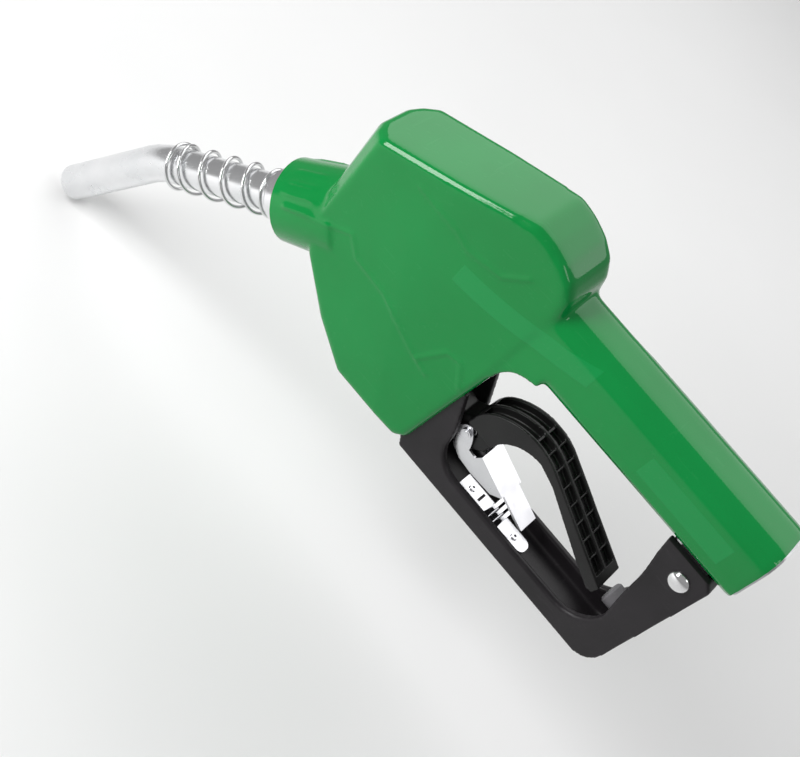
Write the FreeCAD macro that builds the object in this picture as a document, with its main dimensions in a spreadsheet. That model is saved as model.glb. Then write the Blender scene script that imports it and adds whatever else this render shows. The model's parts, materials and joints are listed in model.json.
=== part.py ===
# Automatic-shutoff fuel nozzle, millimetres.
# Frame: origin at the mouth of the hose inlet, +X back along the hose, +Z up,
# Y across. The spout points towards -X and down. The nozzle is symmetric in Y.
import FreeCAD, Part
import math
import os

import Sketcher
from FreeCAD import Placement, Rotation, Vector

sizes = {
    # grip and vinyl cover
    "gripWidth": 38, "gripHeight": 41, "gripCorner": 12, "skin": 2.4, "skinFit": 0.2,
    "gripFront": -152, "gripRear": -1.5,
    # body, drawn by its side outline, its plan and its front view
    "noseX": -273, "cheekX": -263, "shoulderX": -183, "rearX": -153, "bellyX": -207,
    "chinX": -258.5, "noseZ": 9.4, "shoulderZ": 45, "bellyZ": -117, "chinZ": -75,
    "frontHalfWidth": 25, "rearRoom": 4.5, "bottomRoom": 5,
    # inlet and flow passage
    "inletRadius": 12.1, "inletDepth": 22, "flowRadius": 9.5,
    # main valve, on a vertical axis
    "valveX": -170, "chamberRadius": 13, "seatTop": -14, "seatThick": 3, "seatBore": 8.5,
    "poppetRadius": 10.5, "poppetThick": 3, "stemRadius": 3, "stemBottom": -75.2,
    "valveCapZ": 24, "castFloor": -58, "ductTop": -26, "ductBottom": -46,
    "mainSpringMean": 7.5, "mainSpringWire": 1.5, "packingRadius": 7, "packingThick": 4,
    "glandRadius": 8.5, "glandHead": 4, "capPlug": 5, "capHex": 7, "sealThick": 0.75,
    # shut-off latch, on a second vertical axis
    "latchX": -200, "plungerRadius": 5.5, "plungerBore": 2.8, "latchPinRadius": 2.5,
    "flangeStep": 2.5, "plungerTop": 0, "plungerShoulder": -20, "columnWall": 2.5,
    "diaphragmRadius": 15.5, "diaphragmZ": 11, "vacuumCapTop": 21, "capScrewRadius": 1.25,
    "runFit": 0.06, "plungerSpringWire": 1.2, "plungerSpringGap": 0.8,
    "diaphragmSpringMean": 5, "diaphragmSpringWire": 1, "forkHalf": 3.5,
    # lever
    "pivotZ": -86, "pivotPinRadius": 2.5, "leverHalfWidth": 10.5, "noseHalfWidth": 7,
    "railWidth": 2.2, "leverChannel": 4.5, "ribPitch": 8.7, "ribThick": 1.1,
    # hold-open clip and rack
    "clipX": -138, "clipZ": -84.8, "clipPinRadius": 2, "clipSheet": 1.4,
    "clipHalfWidth": 9, "clipTailHalfWidth": 7, "rackHalfWidth": 4.8, "rackSheet": 1.2,
    "toothHeight": 7, "rackRivetRadius": 2.1, "rackRivetShank": 1.3, "rackRear": -122,
    "rackFront": -73, "toothPitch": 3.6, "toothStart": -102.6,
    # guard
    "guardHalfWidth": 16, "guardWall": 4.6, "guardBottom": -122.8, "guardFloor": 4.4,
    "windowBottom": -109.2, "windowCorner": 21, "guardFront": -222, "guardRear": -9,
    "guardTop": -20.8,
    "studZ": -89, "studRadius": 6.5, "studLength": 18, "studShank": 2.5,
    "guardScrewZ": -71, "guardScrewRadius": 2,
    "rivetX": -19, "rivetZ": -34, "rivetShank": 3, "rivetHead": 5.9, "rivetDome": 3.2,
    "guardScrewSetBack": 10.5, "guardScrewHead": 3.6, "guardScrewHeadTall": 2, "lugFit": 0.2,
    # spout
    "spoutDrop": 38.4, "spoutBend": 21.6, "collarX": -285.6, "collarZ": -78,
    "collarFront": 22, "collarRear": 25, "spoutRadius": 10.3, "spoutWall": 1.6,
    "spoutStraight": 84, "spoutBendRadius": 60, "spoutTail": 70, "spoutInset": 16,
    "adapterWall": 2.9, "adapterFlange": 1.3, "adapterRear": -22, "adapterFront": 12,
    "coilGap": 1.25, "coilWire": 0.95, "coilPitch": 15.3, "coilStart": 15, "coilEnd": 82,
    "checkBore": 12, "checkSeatBore": 7.5, "checkPoppetRadius": 9.5, "checkStem": 1.5,
    "checkSeatRear": -40, "checkSeatThick": 3, "guideRear": -26, "guideThick": 3,
    "checkSpringMean": 3.2, "checkSpringWire": 1.0,
    "ventRadius": 3, "ventWall": 0.6, "sensorFromTip": 14,
}

doc = FreeCAD.newDocument("FuelNozzle")
sheet = doc.addObject("Spreadsheet::Sheet", "Sizes")
for row, (alias, number) in enumerate(sizes.items(), start=1):
    sheet.set("A%d" % row, alias)
    sheet.set("B%d" % row, str(number))
    sheet.setAlias("B%d" % row, alias)
doc.recompute()

nodes = []


def cell(alias):
    return float(sheet.get(alias))


def keep(piece, label):
    """Names a finished sub-part after the piece that it is."""
    piece.Label = label
    nodes.append(piece)
    return piece


# ---------------------------------------------------------------- building blocks
def originPlane(body, role):
    return [item for item in body.Origin.OriginFeatures if item.Role == role][0]


def boundSketch(body, name, role, corners):
    """Closed outline whose corners are pairs of expressions on the sheet."""
    sketch = body.newObject("Sketcher::SketchObject", name)
    sketch.AttachmentSupport = (originPlane(body, role), [""])
    sketch.MapMode = "FlatFace"
    count = len(corners)
    ring = [Vector(40 * math.cos(2 * math.pi * k / count), 40 * math.sin(2 * math.pi * k / count), 0)
            for k in range(count)]
    for k in range(count):
        sketch.addGeometry(Part.LineSegment(ring[k], ring[(k + 1) % count]), False)
    for k in range(count):
        sketch.addConstraint(Sketcher.Constraint("Coincident", k, 2, (k + 1) % count, 1))
    for k, corner in enumerate(corners):
        for kind, expression in zip(("DistanceX", "DistanceY"), corner):
            index = sketch.addConstraint(Sketcher.Constraint(kind, -1, 1, k, 1, 1.0))
            sketch.setExpression("Constraints[%d]" % index, expression)
    return sketch


def turned(label, corners, place):
    """Body of revolution: corners are (radius, height) about its own Z axis."""
    body = doc.addObject("PartDesign::Body", label)
    sketch = boundSketch(body, label + "Profile", "XZ_Plane", corners)
    turn = body.newObject("PartDesign::Revolution", label + "Turn")
    turn.Profile = sketch
    turn.ReferenceAxis = (sketch, ["V_Axis"])
    turn.Angle = 360
    body.Tip = turn
    put(body, place)
    return body


def put(piece, place):
    """Binds X and Z, and a tilt about Y in degrees; a tilt of None lays it along Y."""
    x, z, tilt = place
    if tilt is None:
        piece.Placement = Placement(Vector(), Rotation(Vector(1, 0, 0), 90))
    else:
        piece.Placement = Placement(Vector(), Rotation(Vector(0, 1, 0), 10))
        piece.setExpression("Placement.Rotation.Angle", "(%s) * 1 deg" % tilt)
    piece.setExpression("Placement.Base.x", x)
    piece.setExpression("Placement.Base.z", z)


def upright(axis):
    return ("Sizes." + axis, "0", "0")


# ---------------------------------------------------------------- fits
# widths and radii that follow from a neighbouring piece and a named clearance
bottomHalfWidth = cell("guardHalfWidth") + cell("bottomRoom")
rearHalfWidth = cell("guardHalfWidth") + cell("rearRoom")
lugHalfWidth = cell("guardHalfWidth") - cell("guardWall") - cell("lugFit")
flangeRadius = cell("plungerRadius") + cell("flangeStep")
columnRadius = flangeRadius + cell("columnWall")
plungerSpringMean = cell("plungerRadius") + cell("plungerSpringWire") / 2 + cell("plungerSpringGap")
adapterThread = cell("spoutRadius") + cell("adapterWall")
coilMean = cell("spoutRadius") + cell("coilWire") + cell("coilGap")
spoutBore = cell("spoutRadius") - cell("spoutWall")
guardScrewX = cell("guardFront") + cell("guardScrewSetBack")
rackLow = cell("guardBottom") + cell("guardFloor")
rackHigh = rackLow + cell("rackSheet")
bellyInside = cell("bellyZ") + cell("skin") + 0.8
ballRadius = (cell("plungerRadius") - cell("plungerBore")) / 2 - 0.02
across = 60

# local +Z of a piece put at spoutAxis runs out along the spout
spoutAxis = ("Sizes.collarX", "Sizes.collarZ", "-(90 + Sizes.spoutDrop)")


def feature(label, shape):
    piece = doc.addObject("Part::Feature", label)
    piece.Shape = shape
    return piece


def box(x0, x1, y0, y1, z0, z1):
    return Part.makeBox(x1 - x0, y1 - y0, z1 - z0, Vector(x0, y0, z0))


def rod(radius, start, end):
    run = end - start
    return Part.makeCylinder(radius, run.Length, start, run)


def upRod(radius, x, low, high):
    return rod(radius, Vector(x, 0, low), Vector(x, 0, high))


def crossRod(radius, x, z, low, high):
    return rod(radius, Vector(x, low, z), Vector(x, high, z))


def outlineFace(points, plane):
    """Face from a start point and steps: a pair is a line, a list of two an arc."""
    edges = []
    previous = points[0]
    for step in points[1:] + [points[0]]:
        if isinstance(step, list):
            edges.append(Part.Arc(plane(previous), plane(step[0]), plane(step[1])).toShape())
            previous = step[1]
        elif step != previous:
            edges.append(Part.LineSegment(plane(previous), plane(step)).toShape())
            previous = step
    return Part.Face(Part.Wire(edges))


def sidePlane(point):
    return Vector(point[0], 0, point[1])


def planPlane(point):
    return Vector(point[0], point[1], 0)


def frontPlane(point):
    return Vector(0, point[0], point[1])


def sideSlab(points, low, high):
    face = outlineFace(points, sidePlane)
    face.translate(Vector(0, low, 0))
    return face.extrude(Vector(0, high - low, 0))


def coilSpring(mean, wire, pitch, length):
    """Round-wire helix about Z from height 0, its ends left open."""
    helix = Part.makeHelix(pitch, length, mean)
    section = Part.Wire(Part.Circle(Vector(mean, 0, 0), Vector(0, 1, 0), wire).toShape())
    return Part.Wire(helix.Edges).makePipeShell([section], True, True)


# ---------------------------------------------------------------- spout frame
spoutAngle = math.radians(cell("spoutDrop"))
spoutWay = Vector(-math.cos(spoutAngle), 0, -math.sin(spoutAngle))
collarCentre = Vector(cell("collarX"), 0, cell("collarZ"))


def alongSpout(distance, lift=0.0):
    up = Vector(-spoutWay.z, 0, spoutWay.x) * -1
    return collarCentre + spoutWay * distance + up * lift


def spoutPath(lift, start, tail):
    """Straight, bend and straight of the spout, moved sideways by lift in its plane."""
    bend = math.radians(cell("spoutBend"))
    radius = cell("spoutBendRadius") + lift
    first = alongSpout(start, lift)
    bendStart = alongSpout(cell("spoutStraight"), lift)
    centre = alongSpout(cell("spoutStraight"), -cell("spoutBendRadius"))
    arm = bendStart - centre
    turnAbout = Rotation(Vector(0, 1, 0), -math.degrees(bend))
    halfTurn = Rotation(Vector(0, 1, 0), -math.degrees(bend) / 2)
    bendEnd = centre + turnAbout.multVec(arm)
    middle = centre + halfTurn.multVec(arm)
    end = bendEnd + turnAbout.multVec(spoutWay) * tail
    edges = [Part.LineSegment(first, bendStart).toShape(),
             Part.Arc(bendStart, middle, bendEnd).toShape(),
             Part.LineSegment(bendEnd, end).toShape()]
    return Part.Wire(edges), first, end


def bentRod(radius, lift, start, tail):
    path, first, end = spoutPath(lift, start, tail)
    section = Part.Wire(Part.Circle(first, spoutWay, radius).toShape())
    return path.makePipeShell([section], True, False)


# ---------------------------------------------------------------- cover and casting
def bodyBlock(inset):
    """Nozzle body: side outline, plan and front view cut from each other."""
    side = outlineFace([
        (cell("noseX"), cell("noseZ")), (cell("shoulderX"), cell("shoulderZ")),
        (cell("valveX") + 12, cell("shoulderZ") - 2), (cell("rearX") + 4, cell("shoulderZ") - 12),
        (cell("rearX") + 9, 16), (cell("rearX") + 9, -16), (cell("rearX") + 4, -26),
        (cell("rearX"), -48), (cell("rearX") - 5, cell("bellyZ") + 6), (cell("rearX") - 8, cell("bellyZ")),
        (cell("bellyX"), cell("bellyZ")), (cell("bellyX") - 8, cell("bellyZ") + 3),
        (cell("chinX"), cell("chinZ")), (cell("noseX") + 3, -52)], sidePlane)
    plan = outlineFace([
        (cell("cheekX"), cell("frontHalfWidth")),
        (cell("shoulderX") - 30, cell("frontHalfWidth") - 1), (cell("rearX") - 12, rearHalfWidth),
        (cell("rearX") + 10, cell("gripWidth") / 2), (cell("rearX") + 10, -cell("gripWidth") / 2),
        (cell("rearX") - 12, -rearHalfWidth),
        (cell("shoulderX") - 30, 1 - cell("frontHalfWidth")), (cell("cheekX"), -cell("frontHalfWidth")),
        [(cell("noseX"), 0), (cell("cheekX"), cell("frontHalfWidth"))]], planPlane)
    front = outlineFace([
        (-cell("frontHalfWidth"), 50), (cell("frontHalfWidth"), 50), (cell("frontHalfWidth"), 10),
        (bottomHalfWidth, -130), (-bottomHalfWidth, -130),
        (-cell("frontHalfWidth"), 10)], frontPlane)
    blocks = []
    for face, start, way in ((side, Vector(0, -60, 0), Vector(0, 120, 0)),
                             (plan, Vector(0, 0, -160), Vector(0, 0, 260)),
                             (front, Vector(-320, 0, 0), Vector(320, 0, 0))):
        shrunk = face.makeOffset2D(-inset) if inset else face
        shrunk.translate(start)
        blocks.append(shrunk.extrude(way))
    return blocks[0].common(blocks[1]).common(blocks[2])


def gripBar(inset, front, rear):
    """Rounded rectangular bar of the handle, shrunk all round by inset."""
    halfWide = cell("gripWidth") / 2 - inset
    halfTall = cell("gripHeight") / 2 - inset
    bar = box(front, rear, -halfWide, halfWide, -halfTall, halfTall)
    lengthwise = [edge for edge in bar.Edges if abs(edge.Length - (rear - front)) < 1e-6]
    return bar.makeFillet(cell("gripCorner") - inset, lengthwise)


def collarCone(inset, front):
    """Collar round the spout nut, from the body's front to the given distance."""
    slope = (cell("collarRear") - cell("collarFront")) / 40
    return Part.makeCone(cell("collarRear") - inset, cell("collarFront") - inset - slope * front,
                         40 + front, alongSpout(-40), spoutWay)


def coverShape():
    skin = cell("skin")
    outer = bodyBlock(0).fuse([gripBar(0, cell("gripFront"), cell("gripRear")), collarCone(0, 0)])
    inner = bodyBlock(skin).fuse([gripBar(skin, cell("gripFront") - 2, 5), collarCone(skin, 2)])
    room = cell("guardHalfWidth") + 2 * cell("skinFit")
    guardSlot = box(cell("rearX") - 12, cell("rearX") + 15, -room, room,
                    cell("guardBottom") - 5, cell("castFloor") + 2 * cell("skinFit"))
    return outer.removeSplitter().cut([inner.removeSplitter(), guardSlot, rearLug(0.3)])


def rearLug(room):
    """Lug under the handle that the guard's rear rivet goes through."""
    half = lugHalfWidth + room
    return box(cell("rivetX") - 13 - room, cell("rivetX") + 5.4 + room, -half, half,
               cell("rivetZ") - 12, 4 - cell("gripHeight") / 2)


def guardFixings():
    """Holes of the rear rivet and the front screw, right across the nozzle."""
    return [crossRod(cell("rivetShank"), cell("rivetX"), cell("rivetZ"), -across, across),
            crossRod(cell("guardScrewRadius"), guardScrewX, cell("guardScrewZ"), -across, across)]


def castingShape():
    inset = cell("skin") + cell("skinFit")
    shellRoom = box(-320, 0, -60, 60, cell("castFloor"), cell("valveCapZ"))
    block = bodyBlock(inset).fuse(collarCone(inset, -1.5)).common(shellRoom)
    solid = block.fuse(gripBar(inset, cell("gripFront"), 0))
    solid = solid.fuse(collarCone(inset, -1.5))
    valve, latch = cell("valveX"), cell("latchX")
    chamber = cell("chamberRadius")
    duct = box(latch - 38, valve, -15, 15, cell("ductBottom"), cell("ductTop"))
    column = upRod(columnRadius, latch, cell("castFloor"), cell("ductTop") + 1)
    seatLow = cell("seatTop") - cell("seatThick")
    cuts = [
        rod(cell("inletRadius"), Vector(-cell("inletDepth"), 0, 0), Vector(1, 0, 0)),
        rod(cell("flowRadius"), Vector(valve, 0, 0), Vector(1, 0, 0)),
        upRod(chamber, valve, seatLow, cell("valveCapZ") + 1),
        upRod(cell("seatBore") + 2, valve, cell("ductBottom"), seatLow),
        upRod(cell("stemRadius") + cell("runFit"), valve, cell("castFloor") - 1, cell("ductBottom")),
        upRod(cell("packingRadius"), valve, cell("castFloor") - 1,
              cell("ductBottom") - cell("packingThick")),
        duct.cut(column),
        rod(cell("checkBore"), alongSpout(-60), alongSpout(1)),
        rod(adapterThread, alongSpout(cell("adapterRear")), alongSpout(1)),
        upRod(cell("plungerRadius") + cell("runFit"), latch, cell("castFloor") - 1, 12),
        upRod(flangeRadius + 0.3, latch, cell("plungerShoulder"), cell("diaphragmZ") - 7),
        upRod(cell("diaphragmRadius") - 3, latch, cell("diaphragmZ") - 7.5, cell("diaphragmZ") + 1),
        upRod(cell("diaphragmRadius"), latch, cell("diaphragmZ") - 1.2, cell("valveCapZ") + 1),
    ]
    for cut in cuts:
        solid = solid.cut(cut)
    lug = rearLug(0).cut(gripBar(inset + 3, cell("gripFront") + 2, 0))
    frontLug = box(guardScrewX - 2.5, guardScrewX + 2.5, -lugHalfWidth, lugHalfWidth,
                   cell("guardScrewZ") - 9, cell("castFloor") + 2)
    solid = solid.fuse([lug, frontLug]).cut(guardFixings())
    for x, y in capScrewPlaces():
        solid = solid.cut(rod(cell("capScrewRadius"), Vector(x, y, cell("valveCapZ") - 9),
                              Vector(x, y, cell("valveCapZ") + 1)))
    return solid.removeSplitter()


# ---------------------------------------------------------------- guard
def guardOutline():
    front, bottom, rear = cell("guardFront"), cell("guardBottom"), cell("guardRear")
    corner, sill = cell("windowCorner"), cell("windowBottom")
    small = corner * 0.85
    rearBend, windowRear, windowFront = 14.0, -25.5, -140.7
    bow = 1 - math.sqrt(0.5)
    return [
        (rear - 1.5, cell("guardTop")), (rear + 3, cell("guardTop") - 4.7), (rear, bottom + rearBend),
        [(rear - bow * rearBend, bottom + bow * rearBend), (rear - rearBend, bottom)],
        (cell("rearX") - 4, bottom), (cell("rearX") - 9.6, bellyInside),
        (cell("bellyX") + 3, bellyInside), (front + 3, -98), (front + 3, cell("castFloor") - 4),
        (-151, cell("castFloor") - 4), (-142.5, -83), (windowFront, sill + small),
        [(windowFront + bow * small, sill + bow * small), (windowFront + small, sill)],
        (windowRear - corner, sill),
        [(windowRear - bow * corner, sill + bow * corner), (windowRear, sill + corner)],
        (-29, -70), (-31.5, -50), (-36, -33), (-38.5, cell("guardTop"))]


def guardShape():
    half, wall = cell("guardHalfWidth"), cell("guardWall")
    inside = half - wall
    outline = guardOutline()
    guard = sideSlab(outline, -half, half)
    trough = sideSlab(outline, -inside, inside)
    trough.translate(Vector(-cell("guardFloor"), 0, cell("guardFloor")))
    nosePass = box(cell("guardFront") + 7.5, -110, -inside, inside,
                   bellyInside + cell("guardFloor"), cell("castFloor"))
    guard = guard.cut([trough, nosePass])
    stud = Vector(cell("guardRear") - cell("guardFloor"), 0, cell("studZ"))
    holes = guardFixings() + [rod(cell("studShank"), stud, stud + Vector(12, 0, 0))]
    holes += [upRod(cell("rackRivetShank"), x, cell("guardBottom") - 1, rackHigh)
              for x in rackRivetPlaces()]
    for hole in holes:
        guard = guard.cut(hole)
    rims = [edge for edge in guard.Edges
            if edge.BoundBox.ZMin > cell("guardBottom") + 9 and edge.BoundBox.XMin > -142
            and abs(abs(edge.BoundBox.YMin) - half) < 0.01 and edge.BoundBox.YLength < 0.01
            and edge.Length > 9 and edge.BoundBox.XMax < -23 and edge.BoundBox.ZMax < -80]
    return guard.makeFillet(1.2, rims)


def rackRivetPlaces():
    return (-115.3, -82.2)


def rackShape():
    low, high, half = rackLow, rackHigh, cell("rackHalfWidth")
    strip = box(cell("rackRear"), cell("rackFront"), -half, half, low, high)
    corners = [edge for edge in strip.Edges if abs(edge.Length - cell("rackSheet")) < 1e-6
               and edge.BoundBox.XMin > cell("rackFront") - 1]
    strip = strip.makeFillet(0.83 * half, corners)
    strip = strip.cut(box(-109.4, -107.8, -half + 1.5, half - 1.5, low - 1, high + 1))
    for step in range(3):
        start = cell("toothStart") + cell("toothPitch") * step
        end = start + cell("toothPitch")
        tip = high + cell("toothHeight") - 0.6 * step
        tooth = sideSlab([(start, low + 0.2), (start + 1, tip), (end - 0.6, tip), (end, low + 0.2)],
                         -half, half)
        strip = strip.fuse(tooth)
    for x in rackRivetPlaces():
        strip = strip.cut(upRod(cell("rackRivetShank"), x, low - 1, high + 1))
    return strip.removeSplitter()


def rackRivetShapes():
    rivets = []
    for x in rackRivetPlaces():
        rivet = upRod(cell("rackRivetShank"), x, cell("guardBottom") + 0.6, rackHigh).fuse(
            upRod(cell("rackRivetRadius"), x, rackHigh, rackHigh + 0.9))
        rivets.append(rivet.cut(upRod(0.8, x, rackHigh - 2, rackHigh + 2)))
    return Part.makeCompound(rivets)


# ---------------------------------------------------------------- lever and clip
def leverOutline():
    x, z = cell("latchX"), cell("pivotZ")
    return [
        (-124.5, -77.2), [(-114.5, -62), (-101.5, -58.7)], (-90, -62.6), (-53.5, -84), (-41, -90.5),
        (-37.2, -89.5), (-36.6, -84), (-94.5, -54.6), [(-113.5, -50.8), (-132, -58)],
        [(-139, -65.5), (-141.3, -75)], (-147, -79), (-160, z + 10), (x + 22, z + 10), (x + 6, z + 6.6),
        [(x - 6.5, z), (x + 1, z - 6.5)], (-147, -95), (-131, -92.5), (-125.4, -87)]


def leverShape():
    half, nose = cell("leverHalfWidth"), cell("noseHalfWidth")
    outline = leverOutline()
    lever = sideSlab(outline, -half, half)
    for side in (-1, 1):
        near, far = sorted((side * nose, side * across))
        lever = lever.cut([box(cell("latchX") - 15, -120, near, far, -110, -78),
                           box(cell("latchX") - 15, -141.5, near, far, -110, -60)])
    rail = cell("railWidth")
    bays = [(-half + rail, -rail / 2), (rail / 2, half - rail)]
    for low, high in bays:
        bay = sideSlab(outline, low, high).common(box(-143, -39, -across, across, -90, -40))
        lowered = bay.copy()
        lowered.translate(Vector(1.5, 0, -cell("leverChannel")))
        ribs = bay.copy()
        ribs.translate(Vector(0, 0, -0.8))
        channel = bay.cut(lowered).common(box(-139.5, -42, -across, across, -88, -40))
        for k in range(8):
            x = -112.2 + cell("ribPitch") * k
            wall = box(x, x + cell("ribThick"), low, high, -95, -40).common(ribs)
            channel = channel.cut(wall)
        lever = lever.cut(channel)
    x, z = cell("latchX"), cell("pivotZ")
    fork = cell("forkHalf") + 0.2
    return lever.cut([crossRod(cell("pivotPinRadius"), x, z, -across, across),
                      box(x - 12, x + cell("plungerRadius") + 3.5, -fork, fork, z - 20, z + 20),
                      crossRod(cell("clipPinRadius"), cell("clipX"), cell("clipZ"), -across, across),
                      crossRod(4.6, cell("clipX"), cell("clipZ"), -nose - 1, -nose + 2.6)])


def clipShape():
    x, z = cell("clipX"), cell("clipZ")
    wide, narrow, sheetThick = cell("clipHalfWidth"), cell("clipTailHalfWidth"), cell("clipSheet")
    web = [(x + 14.4, z - 3.2), (x + 36.5, z - 11.5), (x + 36.5, z - 11.5 - sheetThick),
           (x + 14, z - 3.2 - sheetThick)]
    tail = [(x + 36.4, z - 11.5), (x + 55.5, z - 18.5), (x + 55, z - 18.5 - sheetThick),
            (x + 36.4, z - 11.5 - sheetThick)]
    ear = [(x, z + 5.5), [(x - 5.5, z), (x - 4.6, z - 6)], (x - 1.5, z - 12.4), (x + 6, z - 16.2),
           (x + 16, z - 17.3), (x + 30.8, z - 16.4), (x + 36, z - 12.4), (x + 36.4, z - 11.4),
           (x + 14.4, z - 3.2), (x + 12, z - 7.6), (x + 7, z - 7), [(x + 5.4, z - 2), (x, z + 5.5)]]
    clip = sideSlab(web, -wide, wide).fuse(sideSlab(tail, -narrow, narrow))
    for side in (-1, 1):
        low, high = sorted((side * (wide - sheetThick), side * wide))
        clip = clip.fuse(sideSlab(ear, low, high))
    pinHole = crossRod(cell("clipPinRadius") + cell("runFit"), x, z, -across, across)
    return clip.cut(pinHole).removeSplitter()


def clipRivetShape():
    x, z, wide = cell("clipX"), cell("clipZ"), cell("clipHalfWidth") + 0.15
    shank = crossRod(cell("clipPinRadius"), x, z, -wide - 1.6, wide + 1.6)
    return shank.fuse([crossRod(3, x, z, -wide - 1.4, -wide), crossRod(3, x, z, wide, wide + 1.4)])


def clipSpringShape():
    spring = coilSpring(3.3, 0.45, 1.05, 1.7)
    spring.rotate(Vector(), Vector(1, 0, 0), -90)
    spring.translate(Vector(cell("clipX"), -cell("noseHalfWidth") + 0.5, cell("clipZ")))
    return spring


# ---------------------------------------------------------------- latch and valve
def plungerShape():
    x, z, fit = cell("latchX"), cell("pivotZ"), cell("runFit")
    shaft = upRod(cell("plungerRadius"), x, z - 5.4, cell("plungerTop"))
    shaft = shaft.fuse(upRod(flangeRadius, x, cell("plungerTop") - 2, cell("plungerTop")))
    for side in (-1, 1):
        low, high = sorted((side * cell("forkHalf"), side * across))
        shaft = shaft.cut(box(x - 10, x + 10, low, high, z - 10, z + 16))
    shaft = shaft.cut([upRod(cell("plungerBore"), x, cell("plungerShoulder") - 6, cell("plungerTop") + 1),
                       crossRod(cell("pivotPinRadius") + fit, x, z, -10, 10)])
    for ball in latchBallPlaces():
        way = Vector(ball.x - x, ball.y, 0)
        shaft = shaft.cut(rod(ballRadius + 0.12, Vector(x, 0, ball.z), Vector(x, 0, ball.z) + way * 2))
    return shaft


def latchBallPlaces():
    reach = (cell("plungerRadius") + cell("plungerBore")) / 2
    return [Vector(cell("latchX") + reach * math.cos(2 * math.pi * k / 3),
                   reach * math.sin(2 * math.pi * k / 3), cell("plungerShoulder") + 2)
            for k in range(3)]


def latchBallShapes():
    return Part.makeCompound([Part.makeSphere(ballRadius, place) for place in latchBallPlaces()])


def rivetCorners():
    """Half outline of the rear guard rivet: shank with a domed head at each end."""
    reach, head, dome = "Sizes.guardHalfWidth", "Sizes.rivetHead", "Sizes.rivetDome"
    half = [("0", "%s + %s" % (reach, dome)), (head + " * 0.42", "%s + %s * 0.91" % (reach, dome)),
            (head + " * 0.78", "%s + %s * 0.6" % (reach, dome)), (head, "%s + %s * 0.15" % (reach, dome)),
            (head, reach), ("Sizes.rivetShank", reach)]
    return half + [(radius, "-(%s)" % height) for radius, height in reversed(half)]


def uprightSpring(mean, wire, x, low, high, turns):
    """Spring of the given wire diameter that fills the height between two seats."""
    spring = coilSpring(mean, wire / 2, (high - low - wire) / turns, high - low - wire)
    spring.translate(Vector(x, 0, low + wire / 2))
    return spring


def checkSpringShape():
    wire, seat = cell("checkSpringWire"), cell("guideRear") - 0.1
    spring = uprightSpring(cell("checkSpringMean"), wire, 0, seat - 7.4, seat, 3.25)
    spring.rotate(Vector(), Vector(0, 1, 0), -(90 + cell("spoutDrop")))
    spring.translate(collarCentre)
    return spring


def spoutSpringShape():
    """Open coil with a closed ring at each end."""
    mean, wire = coilMean, cell("coilWire")
    run = cell("coilEnd") - cell("coilStart")
    spring = coilSpring(mean, wire, cell("coilPitch"), run)
    for height, seam in ((run, 37), (0, 200)):
        ring = Part.makeTorus(mean, wire * 1.05, Vector(0, 0, height), Vector(0, 0, 1))
        ring.rotate(Vector(), Vector(0, 0, 1), seam)
        spring = spring.fuse(ring)
    spring.rotate(Vector(), Vector(0, 1, 0), -(90 + cell("spoutDrop")))
    spring.translate(alongSpout(cell("coilStart")))
    return spring


def sensorPlace():
    """Point on the spout's axis over the sensing hole, and the way to its underside."""
    centre = spoutPath(0, 0, cell("spoutTail") - cell("sensorFromTip"))[2]
    tailAngle = spoutAngle + math.radians(cell("spoutBend"))
    return centre, Vector(math.sin(tailAngle), 0, -math.cos(tailAngle))


def spoutTubeShape():
    tube = bentRod(cell("spoutRadius"), 0, -cell("spoutInset"), cell("spoutTail"))
    tube = tube.cut(bentRod(spoutBore, 0, -cell("spoutInset") - 1, cell("spoutTail") + 1))
    centre, down = sensorPlace()
    return tube.cut(rod(cell("ventRadius") * 0.8, centre, centre + down * (cell("spoutRadius") + 4)))


def ventTubeShape():
    lift = -(spoutBore - cell("ventRadius") - 0.15)
    tail = cell("spoutTail") - cell("sensorFromTip") + 4
    tube = bentRod(cell("ventRadius"), lift, -8, tail)
    tube = tube.cut(bentRod(cell("ventRadius") - cell("ventWall"), lift, -9, tail - 1))
    centre, down = sensorPlace()
    inside = spoutBore - 2 * cell("ventRadius") + cell("ventWall") + 1.7
    return tube.cut(rod(1.6, centre + down * inside, centre + down * (cell("spoutRadius") + 4)))


def capScrewPlaces():
    reach = (cell("diaphragmRadius") + 2.1) * math.sqrt(0.5)
    return [(cell("latchX") + side * reach, face * reach) for side in (-1, 1) for face in (-1, 1)]


def vacuumCapShape():
    x, low, high = cell("latchX"), cell("diaphragmZ"), cell("valveCapZ")
    cap = upRod(cell("diaphragmRadius"), x, low, high).fuse(
        upRod(cell("diaphragmRadius") + 4, x, high, high + 2.5))
    cap = cap.cut([upRod(cell("diaphragmRadius") - 3, x, low, cell("vacuumCapTop")),
                   box(cell("valveX") - cell("chamberRadius") - 1, x + 40, -30, 30, high, high + 9)])
    for screwX, y in capScrewPlaces():
        cap = cap.cut(rod(cell("capScrewRadius"), Vector(screwX, y, high - 1), Vector(screwX, y, high + 9)))
    return cap.removeSplitter()


def capScrewShapes():
    top, screws = cell("valveCapZ") + 2.5, []
    for x, y in capScrewPlaces():
        shank = rod(cell("capScrewRadius"), Vector(x, y, top - 10.5), Vector(x, y, top))
        head = rod(cell("capScrewRadius") + 0.9, Vector(x, y, top), Vector(x, y, top + 1.6))
        slot = box(x - 3, x + 3, y - 0.4, y + 0.4, top + 0.8, top + 3)
        screws.append(shank.fuse(head).cut(slot))
    return Part.makeCompound(screws)


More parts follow.
